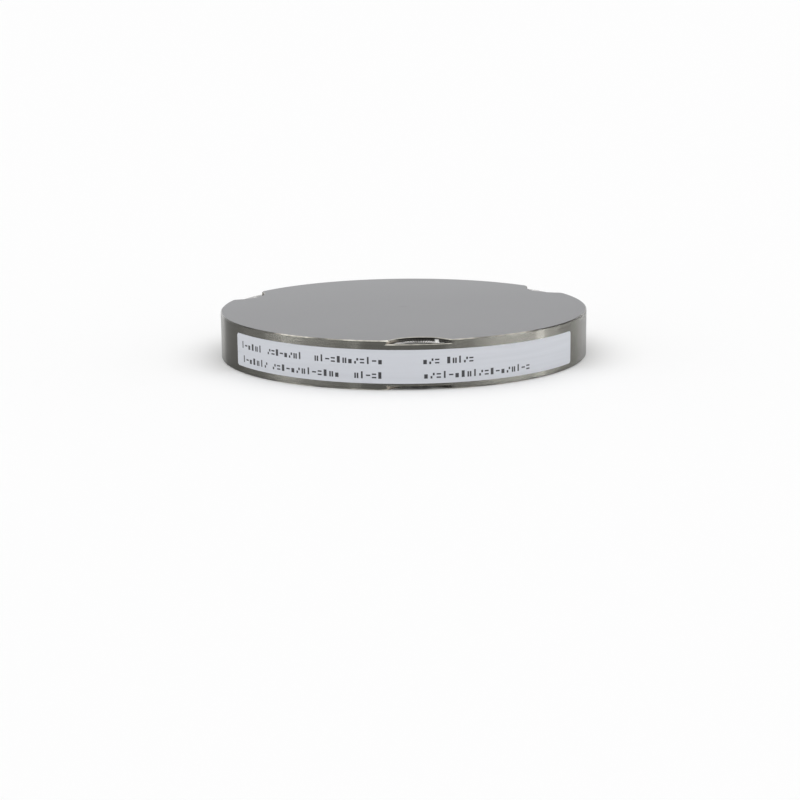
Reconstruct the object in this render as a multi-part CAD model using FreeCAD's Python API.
import FreeCAD, Part
import math
import os

# A cobalt chrome milling blank for dental work: a turned disc with crescent notches in the
# rim edges of both faces, and a paper label round the front of its rim.
# Millimetres. The origin is the centre of the bottom face, +Z runs up the disc's axis, and
# -Y points to the middle of the label. Angles are in degrees from -Y towards +X.

# Disc
disc_diameter = 95.0
disc_thickness = 12.0
rim_chamfer = 0.25  # broken edge round both faces, also along the notches

# Crescent notches, in line with each other on the two faces
notch_count = 3
notch_first_angle = 4.2  # from the front to the middle of the first notch
notch_width = 14.6  # straight across the rim, before the corners are rounded
notch_inset = 4.4  # from the rim circle to the deepest point of the notch's wall
notch_height = 0.8  # from the face to the ledge
notch_corner_radius = 2.0  # where the notch's wall runs out into the rim
ledge_chamfer = 0.3  # broken edge between a ledge and the rim

# Label
label_length = 100.5  # along the curve
label_height = 8.15
label_thickness = 0.1
label_lower_edge = 1.6  # above the bottom face, at the label's middle
label_corner_radius = 0.8
label_tilt = 0.3  # the label was stuck on a little askew, with its left end up

ORIGIN = FreeCAD.Vector(0, 0, 0)
AXIS = FreeCAD.Vector(0, 0, 1)
disc_radius = disc_diameter / 2


def point_at(radius, angle, height=0.0):
    """The point at that distance from the axis, at that angle from the front."""
    turn = math.radians(angle)
    return FreeCAD.Vector(radius * math.sin(turn), -radius * math.cos(turn), height)


def arc(start, middle, end):
    """An edge through three points."""
    return Part.Arc(start, middle, end).toShape()


def notch_wall():
    """Radius of the notch's curved wall, and how far that curve's centre is from the axis."""
    half_width = notch_width / 2
    rim_rise = disc_radius - math.sqrt(disc_radius**2 - half_width**2)
    wall_rise = notch_inset - rim_rise
    radius = (half_width**2 + wall_rise**2) / (2 * wall_rise)
    return radius, disc_radius - notch_inset + radius


def corner_half_angle():
    """Angle from a notch's middle to where its rounded corner meets the rim circle."""
    wall_radius, wall_centre = notch_wall()
    to_corner = disc_radius - notch_corner_radius
    between = wall_radius + notch_corner_radius
    cosine = (to_corner**2 + wall_centre**2 - between**2) / (2 * to_corner * wall_centre)
    return math.degrees(math.acos(cosine))


def notch_angles():
    """The angle of each notch's middle."""
    return [notch_first_angle + 360.0 * i / notch_count for i in range(notch_count)]


def rounded_corner(middle_angle, side):
    """A notch's corner on one side, +1 or -1: its ends on the rim and on the wall, and its middle."""
    wall_radius, wall_centre = notch_wall()
    rim_angle = middle_angle + side * corner_half_angle()
    centre = point_at(disc_radius - notch_corner_radius, rim_angle)
    on_rim = point_at(disc_radius, rim_angle)
    wall_middle = point_at(wall_centre, middle_angle)
    on_wall = wall_middle + (centre - wall_middle).normalize() * wall_radius
    outward = (on_rim - centre) + (on_wall - centre)
    middle = centre + outward.normalize() * notch_corner_radius
    return on_rim, middle, on_wall


def notch_edges(middle_angle):
    """The three edges of one notch in plan: corner, curved wall, corner."""
    rim_before, corner_before, wall_before = rounded_corner(middle_angle, -1)
    rim_after, corner_after, wall_after = rounded_corner(middle_angle, 1)
    deepest = point_at(disc_radius - notch_inset, middle_angle)
    return [
        arc(rim_before, corner_before, wall_before),
        arc(wall_before, deepest, wall_after),
        arc(wall_after, corner_after, rim_after),
    ]


def rim_edge(middle_angle):
    """The stretch of rim circle from one notch's far corner to the next notch."""
    step = 360.0 / notch_count
    start = middle_angle + corner_half_angle()
    end = middle_angle + step - corner_half_angle()
    ends = [point_at(disc_radius, angle) for angle in (start, (start + end) / 2, end)]
    return arc(*ends)


def notched_plan():
    """The disc seen from above, with its notches."""
    edges = []
    for angle in notch_angles():
        edges += notch_edges(angle)
        edges.append(rim_edge(angle))
    return Part.Face(Part.Wire(edges))


def level_edges(shape, heights):
    """The edges that lie flat at one of these heights."""
    found = []
    for edge in shape.Edges:
        box = edge.BoundBox
        if any(abs(box.ZMin - z) + abs(box.ZMax - z) < 1e-6 for z in heights):
            found.append(edge)
    return found


def notched_blank():
    """The disc with its notches cut right through, and both faces' edges broken."""
    blank = notched_plan().extrude(AXIS * disc_thickness)
    return blank.makeChamfer(rim_chamfer, level_edges(blank, [0.0, disc_thickness]))


def rim_band():
    """The round band of metal that stays whole between the upper and the lower notches."""
    top = disc_thickness - notch_height
    base = FreeCAD.Vector(0, 0, notch_height)
    band = Part.makeCylinder(disc_radius, top - notch_height, base, AXIS)
    return band.makeChamfer(ledge_chamfer, level_edges(band, [notch_height, top]))


def milling_disc():
    """The blank: one solid of metal."""
    return notched_blank().fuse(rim_band()).removeSplitter()


def label_bar():
    """A thick curved bar with the label's outline, as deep each side of the rim as it is high."""
    inner = disc_radius - label_height
    outer = disc_radius + label_height
    top = label_lower_edge + label_height
    ring = [(inner, label_lower_edge), (outer, label_lower_edge), (outer, top), (inner, top)]
    points = [point_at(radius, 0, height) for radius, height in ring]
    section = Part.Face(Part.makePolygon(points + points[:1]))
    sweep = math.degrees(label_length / disc_radius)
    bar = section.revolve(ORIGIN, AXIS, sweep)
    corners = [edge for edge in bar.Edges if abs(edge.Length - (outer - inner)) < 1e-6]
    bar = bar.makeFillet(label_corner_radius, corners)
    bar.rotate(ORIGIN, AXIS, -sweep / 2)
    return bar


def rim_label():
    """The label: what the bar, turned a little askew, covers of a thin sleeve on the rim."""
    bar = label_bar()
    middle = FreeCAD.Vector(0, 0, label_lower_edge + label_height / 2)
    bar.rotate(middle, FreeCAD.Vector(0, 1, 0), label_tilt)
    sleeve = Part.makeCylinder(disc_radius + label_thickness, disc_thickness)
    sleeve = sleeve.cut(Part.makeCylinder(disc_radius, disc_thickness))
    return sleeve.common(bar).Solids[0]


def export_part(name, shape):
    """One STEP file for one piece."""
    shape.exportStep("parts/" + name + ".step")


os.makedirs("parts", exist_ok=True)
export_part("milling_disc", milling_disc())
export_part("rim_label", rim_label())
